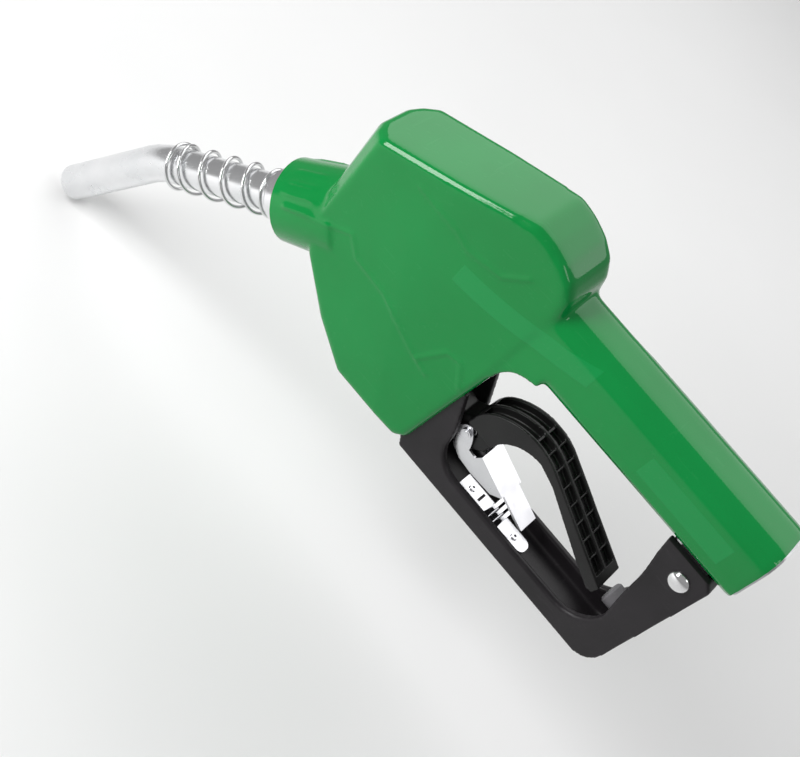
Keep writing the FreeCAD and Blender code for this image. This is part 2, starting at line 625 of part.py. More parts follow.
def checkGuideShape():
    rear, front = cell("guideRear"), cell("guideRear") + cell("guideThick")
    disc = rod(cell("checkBore") - 0.1, alongSpout(rear), alongSpout(front))
    disc = disc.cut(rod(cell("checkStem") + cell("runFit"), alongSpout(rear - 1), alongSpout(front + 1)))
    reach, portRadius = 7.4, 3.2
    for k in range(3):
        angle = math.radians(90 + 120 * k)
        offset = Vector(spoutWay.z, 0, -spoutWay.x) * (reach * math.cos(angle))
        offset = offset + Vector(0, reach * math.sin(angle), 0)
        disc = disc.cut(rod(portRadius, alongSpout(rear - 1) + offset, alongSpout(front + 1) + offset))
    return disc


# ---------------------------------------------------------------- sub-parts
keep(feature("hand_insulator", coverShape()), "hand_insulator")
keep(feature("body_casting", castingShape()), "body_casting")
keep(feature("lever_guard", guardShape()), "lever_guard")
keep(feature("hold_open_rack", rackShape()), "hold_open_rack")
keep(feature("rack_rivets", rackRivetShapes()), "rack_rivets")
keep(feature("trigger_lever", leverShape()), "trigger_lever")
keep(feature("hold_open_clip", clipShape()), "hold_open_clip")
keep(feature("clip_rivet", clipRivetShape()), "clip_rivet")
keep(feature("clip_spring", clipSpringShape()), "clip_spring")
keep(feature("latch_plunger", plungerShape()), "latch_plunger")
keep(feature("latch_balls", latchBallShapes()), "latch_balls")
keep(feature("spout_tube", spoutTubeShape()), "spout_tube")
keep(feature("spout_spring", spoutSpringShape()), "spout_spring")
keep(feature("vent_tube", ventTubeShape()), "vent_tube")
keep(feature("vacuum_cap", vacuumCapShape()), "vacuum_cap")
keep(feature("cap_screws", capScrewShapes()), "cap_screws")
keep(feature("check_valve_guide", checkGuideShape()), "check_valve_guide")


guardScrewPlace = ("Sizes.guardFront + Sizes.guardScrewSetBack", "Sizes.guardScrewZ", None)
screwReach = "Sizes.guardHalfWidth + Sizes.guardScrewHeadTall"
adapterBore = "Sizes.spoutRadius - Sizes.spoutWall"
adapterThreadSize = "Sizes.spoutRadius + Sizes.adapterWall"
adapterRadiusSize = adapterThreadSize + " + Sizes.adapterFlange"
stemBore = "Sizes.stemRadius + Sizes.runFit"
poppetLow = "Sizes.seatTop + Sizes.sealThick + 0.05"
poppetHigh = "Sizes.seatTop + Sizes.poppetThick"
packingHigh = "Sizes.ductBottom - Sizes.packingThick"
packingLow = "Sizes.ductBottom - 2 * Sizes.packingThick"

keep(turned("guard_rivet", rivetCorners(), ("Sizes.rivetX", "Sizes.rivetZ", None)), "guard_rivet")
keep(turned("guard_front_screw", [
    ("0", "-(%s)" % screwReach), ("Sizes.guardScrewHead", "-(%s)" % screwReach),
    ("Sizes.guardScrewHead", "-Sizes.guardHalfWidth"),
    ("Sizes.guardScrewRadius", "-Sizes.guardHalfWidth"),
    ("Sizes.guardScrewRadius", "Sizes.guardHalfWidth"),
    ("Sizes.guardScrewHead", "Sizes.guardHalfWidth"),
    ("Sizes.guardScrewHead", screwReach), ("0", screwReach)], guardScrewPlace), "guard_front_screw")
keep(turned("lever_pin", [
    ("0", "-Sizes.noseHalfWidth"), ("Sizes.pivotPinRadius", "-Sizes.noseHalfWidth"),
    ("Sizes.pivotPinRadius", "Sizes.noseHalfWidth"), ("0", "Sizes.noseHalfWidth")],
    ("Sizes.latchX", "Sizes.pivotZ", None)), "lever_pin")

keep(turned("lever_rest_stud", [
    ("0", "0"), ("Sizes.studRadius - 1.1", "0"), ("Sizes.studRadius", "1.1"),
    ("Sizes.studRadius", "Sizes.studLength"), ("Sizes.studShank", "Sizes.studLength"),
    ("Sizes.studShank", "Sizes.studLength + Sizes.guardWall"),
    ("0", "Sizes.studLength + Sizes.guardWall")],
    ("Sizes.guardRear - Sizes.guardFloor - Sizes.studLength", "Sizes.studZ", "90")), "lever_rest_stud")

keep(turned("main_valve_seat", [
    ("Sizes.seatBore", "Sizes.seatTop - Sizes.seatThick"),
    ("Sizes.chamberRadius", "Sizes.seatTop - Sizes.seatThick"),
    ("Sizes.chamberRadius", "Sizes.seatTop"), ("Sizes.seatBore", "Sizes.seatTop")],
    upright("valveX")), "main_valve_seat")
keep(turned("valve_stem", [
    ("0", "Sizes.stemBottom"), ("1.6", "Sizes.stemBottom"), ("Sizes.stemRadius", "Sizes.stemBottom + 1.4"),
    ("Sizes.stemRadius", poppetLow), ("0", poppetLow)], upright("valveX")), "valve_stem")
keep(turned("main_poppet", [
    ("0", poppetLow), ("Sizes.poppetRadius", poppetLow), ("Sizes.poppetRadius", poppetHigh),
    ("4", poppetHigh + " + 3"), ("0", poppetHigh + " + 3")], upright("valveX")), "main_poppet")
keep(turned("poppet_seal", [
    ("Sizes.stemRadius", "Sizes.seatTop + 0.05"), ("Sizes.poppetRadius", "Sizes.seatTop + 0.05"),
    ("Sizes.poppetRadius", poppetLow), ("Sizes.stemRadius", poppetLow)],
    upright("valveX")), "poppet_seal")
keep(turned("valve_cap", [
    ("0", "Sizes.valveCapZ + 4"), ("Sizes.capHex", "Sizes.valveCapZ + 4"),
    ("Sizes.capHex", "Sizes.valveCapZ"), ("Sizes.chamberRadius", "Sizes.valveCapZ"),
    ("Sizes.chamberRadius", "Sizes.valveCapZ - Sizes.capPlug"),
    ("0", "Sizes.valveCapZ - Sizes.capPlug")], upright("valveX")), "valve_cap")
keep(turned("stem_packing", [
    (stemBore, packingLow), ("Sizes.packingRadius", packingLow),
    ("Sizes.packingRadius", packingHigh), (stemBore, packingHigh)],
    upright("valveX")), "stem_packing")
keep(turned("stem_gland_nut", [
    (stemBore, "Sizes.castFloor - Sizes.glandHead"),
    ("Sizes.glandRadius", "Sizes.castFloor - Sizes.glandHead"),
    ("Sizes.glandRadius", "Sizes.castFloor"), ("Sizes.packingRadius", "Sizes.castFloor"),
    ("Sizes.packingRadius", packingLow), (stemBore, packingLow)],
    upright("valveX")), "stem_gland_nut")
keep(turned("latch_pin", [
    ("0", "Sizes.plungerShoulder - 3"), ("Sizes.latchPinRadius", "Sizes.plungerShoulder - 2"),
    ("Sizes.latchPinRadius", "Sizes.diaphragmZ"), ("0", "Sizes.diaphragmZ")],
    upright("latchX")), "latch_pin")
keep(turned("diaphragm_plate", [
    ("0", "Sizes.diaphragmZ"), ("9", "Sizes.diaphragmZ"), ("9", "Sizes.diaphragmZ + 1.2"),
    ("0", "Sizes.diaphragmZ + 1.2")], upright("latchX")), "diaphragm_plate")
keep(turned("diaphragm", [
    ("9.4", "Sizes.diaphragmZ - 1.2"), ("Sizes.diaphragmRadius", "Sizes.diaphragmZ - 1.2"),
    ("Sizes.diaphragmRadius", "Sizes.diaphragmZ"), ("9.4", "Sizes.diaphragmZ")],
    upright("latchX")), "diaphragm")
keep(turned("check_valve_seat", [
    ("Sizes.checkSeatBore", "Sizes.checkSeatRear"), ("Sizes.checkBore", "Sizes.checkSeatRear"),
    ("Sizes.checkBore", "Sizes.checkSeatRear + Sizes.checkSeatThick"),
    ("Sizes.checkSeatBore", "Sizes.checkSeatRear + Sizes.checkSeatThick")],
    spoutAxis), "check_valve_seat")
checkFace = "Sizes.checkSeatRear + Sizes.checkSeatThick + 0.1"
keep(turned("check_poppet", [
    ("0", checkFace), ("Sizes.checkPoppetRadius", checkFace),
    ("Sizes.checkPoppetRadius", checkFace + " + 2.4"), ("Sizes.checkStem", checkFace + " + 3.4"),
    ("Sizes.checkStem", "Sizes.guideRear + 6"), ("0", "Sizes.guideRear + 6")],
    spoutAxis), "check_poppet")
keep(turned("spout_seal", [
    ("Sizes.checkBore - 2", "Sizes.adapterRear - 1"), ("Sizes.checkBore", "Sizes.adapterRear - 1"),
    ("Sizes.checkBore", "Sizes.adapterRear"), ("Sizes.checkBore - 2", "Sizes.adapterRear")],
    spoutAxis), "spout_seal")
keep(turned("spout_adapter", [
    (adapterBore, "Sizes.adapterRear"), (adapterThreadSize, "Sizes.adapterRear"),
    (adapterThreadSize, "0"), (adapterRadiusSize, "0"),
    (adapterRadiusSize, "Sizes.adapterFront - 1.5"), (adapterRadiusSize + " - 1.5", "Sizes.adapterFront"),
    ("Sizes.spoutRadius", "Sizes.adapterFront"), ("Sizes.spoutRadius", "-Sizes.spoutInset"),
    (adapterBore, "-Sizes.spoutInset")], spoutAxis), "spout_adapter")

keep(feature("main_valve_spring", uprightSpring(
    cell("mainSpringMean"), cell("mainSpringWire"), cell("valveX"),
    cell("seatTop") + cell("poppetThick") + 3, cell("valveCapZ") - cell("capPlug"), 5.25)),
    "main_valve_spring")
keep(feature("plunger_spring", uprightSpring(
    plungerSpringMean, cell("plungerSpringWire"), cell("latchX"),
    cell("plungerShoulder"), cell("plungerTop") - 2, 5.25)), "plunger_spring")
keep(feature("diaphragm_spring", uprightSpring(
    cell("diaphragmSpringMean"), cell("diaphragmSpringWire"), cell("latchX"),
    cell("diaphragmZ") + 1.2, cell("vacuumCapTop"), 4.25)), "diaphragm_spring")
keep(feature("check_valve_spring", checkSpringShape()), "check_valve_spring")

# ---------------------------------------------------------------- checks and export
doc.recompute()
for item in doc.Objects:
    if "Invalid" in item.State or "Error" in item.State:
        raise RuntimeError("%s failed: %s" % (item.Label, item.State))
broken = [piece.Label for piece in nodes
          if piece.Shape.isNull() or not piece.Shape.isValid() or not piece.Shape.Solids]
if broken:
    raise RuntimeError("no valid solid: %s" % ", ".join(broken))

os.makedirs("parts", exist_ok=True)
for piece in nodes:
    piece.Shape.exportStep("parts/%s.step" % piece.Label)
    print("%-20s %2d solid(s) %10.1f mm3" % (piece.Label, len(piece.Shape.Solids), piece.Shape.Volume))
print("%d sub-parts" % len(nodes))
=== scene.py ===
import json
import math

import bpy
from mathutils import Matrix, Vector


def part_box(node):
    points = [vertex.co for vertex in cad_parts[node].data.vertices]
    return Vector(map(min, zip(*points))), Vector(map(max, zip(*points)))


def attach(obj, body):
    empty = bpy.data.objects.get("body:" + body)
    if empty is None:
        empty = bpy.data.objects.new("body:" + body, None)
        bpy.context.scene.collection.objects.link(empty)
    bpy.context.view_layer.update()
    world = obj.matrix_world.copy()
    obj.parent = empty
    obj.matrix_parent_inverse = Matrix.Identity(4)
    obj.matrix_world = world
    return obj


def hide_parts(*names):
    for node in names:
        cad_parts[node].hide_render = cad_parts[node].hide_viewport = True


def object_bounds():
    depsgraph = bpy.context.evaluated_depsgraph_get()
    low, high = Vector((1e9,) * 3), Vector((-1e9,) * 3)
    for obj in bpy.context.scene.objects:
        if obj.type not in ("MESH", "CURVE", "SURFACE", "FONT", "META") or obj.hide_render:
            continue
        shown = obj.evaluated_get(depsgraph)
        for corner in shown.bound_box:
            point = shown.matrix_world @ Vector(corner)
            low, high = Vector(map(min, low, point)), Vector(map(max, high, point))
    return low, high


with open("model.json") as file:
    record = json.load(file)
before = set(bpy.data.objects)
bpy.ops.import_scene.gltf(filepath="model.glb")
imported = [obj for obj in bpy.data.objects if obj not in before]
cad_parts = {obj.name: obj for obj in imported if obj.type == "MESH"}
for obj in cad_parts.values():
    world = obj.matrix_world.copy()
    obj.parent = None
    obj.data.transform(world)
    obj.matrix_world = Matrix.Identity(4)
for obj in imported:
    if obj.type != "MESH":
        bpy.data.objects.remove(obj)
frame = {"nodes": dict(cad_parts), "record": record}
cadLow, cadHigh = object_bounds()
mm = 0.001
print("frame loaded:", len(frame["nodes"]), "nodes")

slotOf = {part["node"]: part["material_slot"] for part in frame["record"]["subparts"]}


# selection and edit helpers

def clearSelection():
    if bpy.context.mode != "OBJECT":
        bpy.ops.object.mode_set(mode="OBJECT")
    bpy.ops.object.select_all(action="DESELECT")


def pick(*pieces):
    clearSelection()
    for piece in pieces:
        piece.select_set(True)
    bpy.context.view_layer.objects.active = pieces[0]
    return pieces[0]


def newest(name):
    piece = bpy.context.active_object
    piece.name = name
    piece.data.name = name
    return piece


def settle(piece):
    # the place and turn go into the mesh, so the object is left at the origin
    pick(piece)
    bpy.ops.object.transform_apply(location=True, rotation=True, scale=True)
    return piece


def applied(piece, kind, **settings):
    pick(piece)
    modifier = piece.modifiers.new(kind.title(), kind)
    for name, value in settings.items():
        setattr(modifier, name, value)
    bpy.ops.object.modifier_apply(modifier=modifier.name)
    return piece


def boxPiece(name, low, high):
    clearSelection()
    centre = [(a + b) / 2 * mm for a, b in zip(low, high)]
    bpy.ops.mesh.primitive_cube_add(size=1, location=centre)
    piece = newest(name)
    piece.scale = [(b - a) * mm for a, b in zip(low, high)]
    return settle(piece)


def rodPiece(name, start, end, radius, endRadius=None, sides=64):
    clearSelection()
    start, end = Vector(start) * mm, Vector(end) * mm
    run = end - start
    bpy.ops.mesh.primitive_cone_add(
        vertices=sides, radius1=radius * mm, radius2=(radius if endRadius is None else endRadius) * mm,
        depth=run.length, location=(start + end) / 2)
    piece = newest(name)
    piece.rotation_mode = "QUATERNION"
    piece.rotation_quaternion = run.to_track_quat("Z", "Y")
    return settle(piece)


def slicedBehind(piece, point, normal):
    # keeps what lies behind the plane and closes the cut
    pick(piece)
    bpy.ops.object.mode_set(mode="EDIT")
    bpy.ops.mesh.select_all(action="SELECT")
    bpy.ops.mesh.bisect(plane_co=Vector(point) * mm, plane_no=normal, use_fill=True,
                        clear_outer=True, threshold=1e-6)
    bpy.ops.object.mode_set(mode="OBJECT")
    return piece


def joined(pieces, name):
    pick(*pieces)
    bpy.ops.object.join()
    return newest(name)


def carved(piece, cutter):
    applied(piece, "BOOLEAN", object=cutter, operation="DIFFERENCE", solver="EXACT")
    bpy.data.objects.remove(cutter)
    return piece


def smoothed(piece, angle=40):
    pick(piece)
    bpy.ops.object.shade_smooth_by_angle(angle=math.radians(angle))
    return piece


def finished(piece, body, slotName, *nodes):
    piece.data.materials.clear()
    piece.data.materials.append(finishes[slotName])
    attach(piece, body)
    if nodes:
        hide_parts(*nodes)
    return piece


def copyOfNode(node, name):
    clearSelection()
    source = frame["nodes"][node]
    piece = bpy.data.objects.new(name, source.data.copy())
    piece.data.name = name
    bpy.context.scene.collection.objects.link(piece)
    piece.data.materials.clear()
    pick(piece)
    bpy.ops.object.mode_set(mode="EDIT")
    bpy.ops.mesh.select_all(action="SELECT")
    bpy.ops.mesh.remove_doubles(threshold=1e-6)
    bpy.ops.object.mode_set(mode="OBJECT")
    bpy.ops.mesh.customdata_custom_splitnormals_clear()
    return piece


def moulded(node, name, voxel, passes):
    # a softened copy of a CAD node, for moulded or pressed pieces
    piece = copyOfNode(node, name)
    applied(piece, "REMESH", mode="VOXEL", voxel_size=voxel * mm)
    applied(piece, "SMOOTH", factor=0.5, iterations=passes)
    return smoothed(piece, 60)


# shader groups

def nodeGroup(name, inputs, outputs):
    group = bpy.data.node_groups.new(name, "ShaderNodeTree")
    for label, value in inputs:
        kind = "NodeSocketVector" if value is None else "NodeSocketFloat"
        socket = group.interface.new_socket(label, in_out="INPUT", socket_type=kind)
        if value is not None:
            socket.default_value = value
    for label in outputs:
        group.interface.new_socket(label, in_out="OUTPUT", socket_type="NodeSocketFloat")
    start = group.nodes.new("NodeGroupInput")
    end = group.nodes.new("NodeGroupOutput")
    return group, start, end


def mathNode(tree, operation, first, second=None, third=None, clamp=False):
    node = tree.nodes.new("ShaderNodeMath")
    node.operation = operation
    node.use_clamp = clamp
    for index, value in enumerate((first, second, third)):
        if value is None:
            continue
        if isinstance(value, (int, float)):
            node.inputs[index].default_value = value
        else:
            tree.links.new(value, node.inputs[index])
    return node.outputs[0]


def noiseNode(tree, vector, scale, detail=3.0, roughness=0.55):
    node = tree.nodes.new("ShaderNodeTexNoise")
    tree.links.new(vector, node.inputs["Vector"])
    if isinstance(scale, (int, float)):
        node.inputs["Scale"].default_value = scale
    else:
        tree.links.new(scale, node.inputs["Scale"])
    node.inputs["Detail"].default_value = detail
    node.inputs["Roughness"].default_value = roughness
    return node.outputs["Fac"]


def makeGrainGroup():
    # moulded or cast skin: fine pimples over a slow swell
    group, start, end = nodeGroup("surfaceGrain", [("Vector", None), ("Scale", 900.0), ("Swell", 40.0)],
                                  ["Height", "Tone"])
    fine = noiseNode(group, start.outputs["Vector"], start.outputs["Scale"], 2.0)
    slow = noiseNode(group, start.outputs["Vector"], start.outputs["Swell"], 3.0)
    fineShare, slowShare = 0.7, 0.3
    height = mathNode(group, "ADD", mathNode(group, "MULTIPLY", fine, fineShare),
                      mathNode(group, "MULTIPLY", slow, slowShare))
    group.links.new(height, end.inputs["Height"])
    group.links.new(slow, end.inputs["Tone"])
    return group


def makeScratchGroup():
    # hair scratches in two directions, broken up by patches of handling
    group, start, end = nodeGroup("handlingMarks", [("Vector", None), ("Scale", 60.0), ("Amount", 0.5)],
                                  ["Mask"])
    masks = []
    lineLevel, patchLevel, patchScale = 0.66, 0.52, 35.0
    for turn, stretch in ((0.4, (1, 18, 18)), (1.9, (14, 1, 14))):
        mapping = group.nodes.new("ShaderNodeMapping")
        mapping.inputs["Rotation"].default_value = (turn, turn * 0.7, turn)
        mapping.inputs["Scale"].default_value = stretch
        group.links.new(start.outputs["Vector"], mapping.inputs["Vector"])
        lines = noiseNode(group, mapping.outputs["Vector"], start.outputs["Scale"], 2.0)
        masks.append(mathNode(group, "GREATER_THAN", lines, lineLevel))
    patches = noiseNode(group, start.outputs["Vector"], patchScale, 2.0)
    both = mathNode(group, "MAXIMUM", masks[0], masks[1])
    worn = mathNode(group, "MULTIPLY", both, mathNode(group, "GREATER_THAN", patches, patchLevel))
    group.links.new(mathNode(group, "MULTIPLY", worn, start.outputs["Amount"]), end.inputs["Mask"])
    return group


def makeTurnedGroup():
    # lathe or drawing lines round or along an axis, set by the mapping before it
    group, start, end = nodeGroup("toolLines", [("Vector", None), ("Scale", 700.0)], ["Height"])
    split = group.nodes.new("ShaderNodeSeparateXYZ")
    group.links.new(start.outputs["Vector"], split.inputs["Vector"])
    joinUp = group.nodes.new("ShaderNodeCombineXYZ")
    group.links.new(split.outputs["X"], joinUp.inputs["X"])
    lines = noiseNode(group, joinUp.outputs["Vector"], start.outputs["Scale"], 2.0, 0.7)
    group.links.new(lines, end.inputs["Height"])
    return group


grainGroup = makeGrainGroup()
scratchGroup = makeScratchGroup()
turnedGroup = makeTurnedGroup()
print("shader groups built")


def placeGroup(tree, group, vector, **values):
    node = tree.nodes.new("ShaderNodeGroup")
    node.node_tree = group
    tree.links.new(vector, node.inputs["Vector"])
    for name, value in values.items():
        node.inputs[name].default_value = value
    return node


def mixedColour(tree, factor, first, second):
    mix = tree.nodes.new("ShaderNodeMix")
    mix.data_type = "RGBA"
    if isinstance(factor, (int, float)):
        mix.inputs["Factor"].default_value = factor
    else:
        tree.links.new(factor, mix.inputs["Factor"])
    for label, value in (("A", first), ("B", second)):
        socket = [s for s in mix.inputs if s.name == label and s.type == "RGBA"][0]
        if isinstance(value, tuple):
            socket.default_value = (*value, 1)
        else:
            tree.links.new(value, socket)
    return [s for s in mix.outputs if s.type == "RGBA"][0]


def startFinish(name):
    material = bpy.data.materials.new(name)
    material.use_nodes = True
    tree = material.node_tree
    shader = tree.nodes["Principled BSDF"]
    place = tree.nodes.new("ShaderNodeTexCoord").outputs["Object"]
    return material, tree, shader, place


def bumped(tree, shader, height, strength, distance):
    bump = tree.nodes.new("ShaderNodeBump")
    bump.inputs["Strength"].default_value = strength
    bump.inputs["Distance"].default_value = distance
    tree.links.new(height, bump.inputs["Height"])
    tree.links.new(bump.outputs["Normal"], shader.inputs["Normal"])


def rampedValue(tree, factor, low, high, fromLow=0.3, fromHigh=0.7):
    node = tree.nodes.new("ShaderNodeMapRange")
    node.inputs["From Min"].default_value = fromLow
    node.inputs["From Max"].default_value = fromHigh
    node.inputs["To Min"].default_value = low
    node.inputs["To Max"].default_value = high
    tree.links.new(factor, node.inputs["Value"])
    return node.outputs["Result"]


def makeFinish(name, look):
    material, tree, shader, place = startFinish(name)
    grain = placeGroup(tree, grainGroup, place, Scale=look["grain"], Swell=look.get("swell", 40.0))
    marks = placeGroup(tree, scratchGroup, place, Scale=look.get("markScale", 60.0), Amount=look["marks"])
    tone = mixedColour(tree, rampedValue(tree, grain.outputs["Tone"], 0, 1), look["colour"], look["second"])
    colour = mixedColour(tree, marks.outputs["Mask"], tone, look["worn"])
    tree.links.new(colour, shader.inputs["Base Color"])
    rough = rampedValue(tree, grain.outputs["Tone"], look["rough"][0], look["rough"][1])
    rough = mathNode(tree, "ADD", rough, mathNode(tree, "MULTIPLY", marks.outputs["Mask"], 0.18), clamp=True)
    tree.links.new(rough, shader.inputs["Roughness"])
    shader.inputs["Metallic"].default_value = look.get("metal", 0.0)
    shader.inputs["Coat Weight"].default_value = look.get("coat", 0.0)
    shader.inputs["Coat Roughness"].default_value = 0.08
    shader.inputs["Specular IOR Level"].default_value = look.get("specular", 0.5)
    height = grain.outputs["Height"]
    if "lines" in look:
        mapping = tree.nodes.new("ShaderNodeMapping")
        mapping.inputs["Rotation"].default_value = look.get("lineTurn", (0, 0, 0))
        tree.links.new(place, mapping.inputs["Vector"])
        lines = placeGroup(tree, turnedGroup, mapping.outputs["Vector"], Scale=look["lines"])
        height = mathNode(tree, "ADD", mathNode(tree, "MULTIPLY", height, 0.4), lines.outputs["Height"])
    bumped(tree, shader, height, look["bump"], look.get("depth", 0.0002))
    return material


spoutTurn = (0, math.radians(-38.4), 0)
looks = {
    "casting": {"colour": (0.60, 0.61, 0.62), "second": (0.50, 0.51, 0.53), "worn": (0.75, 0.75, 0.76),
                "rough": (0.38, 0.55), "metal": 1.0, "grain": 1400.0, "bump": 0.35, "marks": 0.25},
    "guard_plastic": {"colour": (0.012, 0.0105, 0.012), "second": (0.019, 0.0165, 0.019),
                      "worn": (0.06, 0.055, 0.06), "rough": (0.34, 0.44), "grain": 2600.0, "bump": 0.22,
                      "marks": 0.12, "markScale": 40.0, "specular": 0.28},
    "lever_plastic": {"colour": (0.008, 0.008, 0.008), "second": (0.014, 0.014, 0.014),
                      "worn": (0.05, 0.05, 0.05), "rough": (0.30, 0.42), "grain": 2200.0, "bump": 0.18,
                      "marks": 0.15, "specular": 0.28},
    "clip_steel": {"colour": (0.78, 0.78, 0.80), "second": (0.68, 0.68, 0.71), "worn": (0.88, 0.88, 0.90),
                   "rough": (0.20, 0.34), "metal": 1.0, "grain": 900.0, "bump": 0.10, "marks": 0.35,
                   "markScale": 80.0, "lines": 1800.0},
    "spring_steel": {"colour": (0.78, 0.78, 0.78), "second": (0.66, 0.67, 0.68), "worn": (0.9, 0.9, 0.9),
                     "rough": (0.10, 0.22), "metal": 1.0, "grain": 1500.0, "bump": 0.08, "marks": 0.2},
    "stainless": {"colour": (0.62, 0.62, 0.61), "second": (0.55, 0.55, 0.55), "worn": (0.8, 0.8, 0.8),
                  "rough": (0.20, 0.34), "metal": 1.0, "grain": 1100.0, "bump": 0.14, "marks": 0.2,
                  "lines": 2400.0, "lineTurn": (0, math.radians(90), 0)},
    "spout_metal": {"colour": (0.82, 0.82, 0.83), "second": (0.72, 0.73, 0.74), "worn": (0.92, 0.92, 0.92),
                    "rough": (0.16, 0.30), "metal": 1.0, "grain": 1300.0, "bump": 0.16, "marks": 0.3,
                    "lines": 1500.0, "lineTurn": spoutTurn},
    "polymer_tube": {"colour": (0.72, 0.72, 0.68), "second": (0.62, 0.62, 0.58), "worn": (0.8, 0.8, 0.78),
                     "rough": (0.35, 0.5), "grain": 800.0, "bump": 0.1, "marks": 0.1},
    "zinc": {"colour": (0.48, 0.49, 0.51), "second": (0.38, 0.39, 0.41), "worn": (0.62, 0.63, 0.65),
             "rough": (0.40, 0.58), "metal": 1.0, "grain": 1200.0, "bump": 0.3, "marks": 0.2},
    "chrome_rivet": {"colour": (0.86, 0.86, 0.86), "second": (0.76, 0.76, 0.77), "worn": (0.95, 0.95, 0.95),
                     "rough": (0.05, 0.14), "metal": 1.0, "grain": 700.0, "bump": 0.05, "marks": 0.3},
    "stud_rubber": {"colour": (0.17, 0.165, 0.175), "second": (0.13, 0.125, 0.135), "worn": (0.3, 0.3, 0.3),
                    "rough": (0.45, 0.6), "grain": 1500.0, "bump": 0.2, "marks": 0.2},
    "seal_rubber": {"colour": (0.018, 0.018, 0.018), "second": (0.03, 0.03, 0.03), "worn": (0.08, 0.08, 0.08),
                    "rough": (0.5, 0.65), "grain": 1800.0, "bump": 0.2, "marks": 0.1},
    "brass": {"colour": (0.70, 0.50, 0.22), "second": (0.58, 0.42, 0.20), "worn": (0.82, 0.66, 0.36),
              "rough": (0.22, 0.36), "metal": 1.0, "grain": 1000.0, "bump": 0.12, "marks": 0.2,
              "lines": 2000.0, "lineTurn": (0, math.radians(90), 0)},
}
finishes = {name: makeFinish(name, look) for name, look in looks.items()}
print("finishes made:", len(finishes))


# vinyl cover: glossy dipped skin with two clear film patches on the near side

vinyl = {
    "colour": (0.0, 0.240, 0.046), "second": (0.0, 0.205, 0.037), "film": (0.004, 0.262, 0.060),
    "worn": (0.08, 0.42, 0.16), "rough": (0.055, 0.11), "specular": 0.36,
    "peel": {"Scale": 150.0, "Swell": 14.0}, "speckle": {"Scale": 1700.0, "Swell": 90.0},
    "marks": {"Scale": 26.0, "Amount": 0.10},
    "filmTint": 0.75, "markTint": 0.4, "filmRough": 0.10, "markRough": 0.3,
    "peelHeight": 0.08, "speckleHeight": 0.10, "filmHeight": 0.35, "bump": 0.5, "bumpDepth": 0.0003,
    "nearSide": -12, "edge": 0.25,
    "patch": {"x": (-72, -17), "z": (-6.5, 7)},
    "band": {"x": (-195, -116), "start": -6.0, "rise": 16.0, "curve": 1.7, "height": 6.0},
}


def betweenMask(tree, value, low, high, soft):
    # 1 between low and high, with a soft edge, all in metres
    up = rampedValue(tree, value, 0, 1, (low - soft) * mm, (low + soft) * mm)
    down = rampedValue(tree, value, 1, 0, (high - soft) * mm, (high + soft) * mm)
    return mathNode(tree, "MULTIPLY", up, down)


def makeVinyl():
    material, tree, shader, place = startFinish("vinyl")
    axes = tree.nodes.new("ShaderNodeSeparateXYZ")
    tree.links.new(place, axes.inputs["Vector"])
    x, y, z = (axes.outputs[label] for label in "XYZ")
    nearSide = mathNode(tree, "LESS_THAN", y, vinyl["nearSide"] * mm)
    patch, edge = vinyl["patch"], vinyl["edge"]
    square = mathNode(tree, "MULTIPLY", betweenMask(tree, x, *patch["x"], edge),
                      betweenMask(tree, z, *patch["z"], edge))
    band = vinyl["band"]
    low, high = band["x"]
    along = rampedValue(tree, x, 0, 1, low * mm, high * mm)
    climb = mathNode(tree, "MULTIPLY", mathNode(tree, "POWER", along, band["curve"]), band["rise"] * mm)
    level = mathNode(tree, "SUBTRACT", z, mathNode(tree, "ADD", climb, band["start"] * mm))
    strip = mathNode(tree, "MULTIPLY", betweenMask(tree, x, low, high, edge),
                     betweenMask(tree, level, -band["height"], band["height"], edge))
    film = mathNode(tree, "MULTIPLY", mathNode(tree, "MAXIMUM", square, strip), nearSide)
    peel = placeGroup(tree, grainGroup, place, **vinyl["peel"])
    speckle = placeGroup(tree, grainGroup, place, **vinyl["speckle"])
    marks = placeGroup(tree, scratchGroup, place, **vinyl["marks"]).outputs["Mask"]
    tone = mixedColour(tree, rampedValue(tree, peel.outputs["Tone"], 0, 1), vinyl["colour"], vinyl["second"])
    tone = mixedColour(tree, mathNode(tree, "MULTIPLY", film, vinyl["filmTint"]), tone, vinyl["film"])
    tone = mixedColour(tree, mathNode(tree, "MULTIPLY", marks, vinyl["markTint"]), tone, vinyl["worn"])
    tree.links.new(tone, shader.inputs["Base Color"])
    rough = rampedValue(tree, peel.outputs["Tone"], *vinyl["rough"])
    rough = mathNode(tree, "ADD", rough, mathNode(tree, "MULTIPLY", film, vinyl["filmRough"]))
    rough = mathNode(tree, "ADD", rough, mathNode(tree, "MULTIPLY", marks, vinyl["markRough"]), clamp=True)
    tree.links.new(rough, shader.inputs["Roughness"])
    shader.inputs["Specular IOR Level"].default_value = vinyl["specular"]
    filmGrain = mathNode(tree, "MULTIPLY", mathNode(tree, "MULTIPLY", speckle.outputs["Height"], film),
                         vinyl["speckleHeight"])
    peelHeight = mathNode(tree, "MULTIPLY", peel.outputs["Height"], vinyl["peelHeight"])
    height = mathNode(tree, "ADD", peelHeight, filmGrain)
    height = mathNode(tree, "ADD", height, mathNode(tree, "MULTIPLY", film, vinyl["filmHeight"]))
    bumped(tree, shader, height, vinyl["bump"], vinyl["bumpDepth"])
    return material


finishes["vinyl"] = makeVinyl()

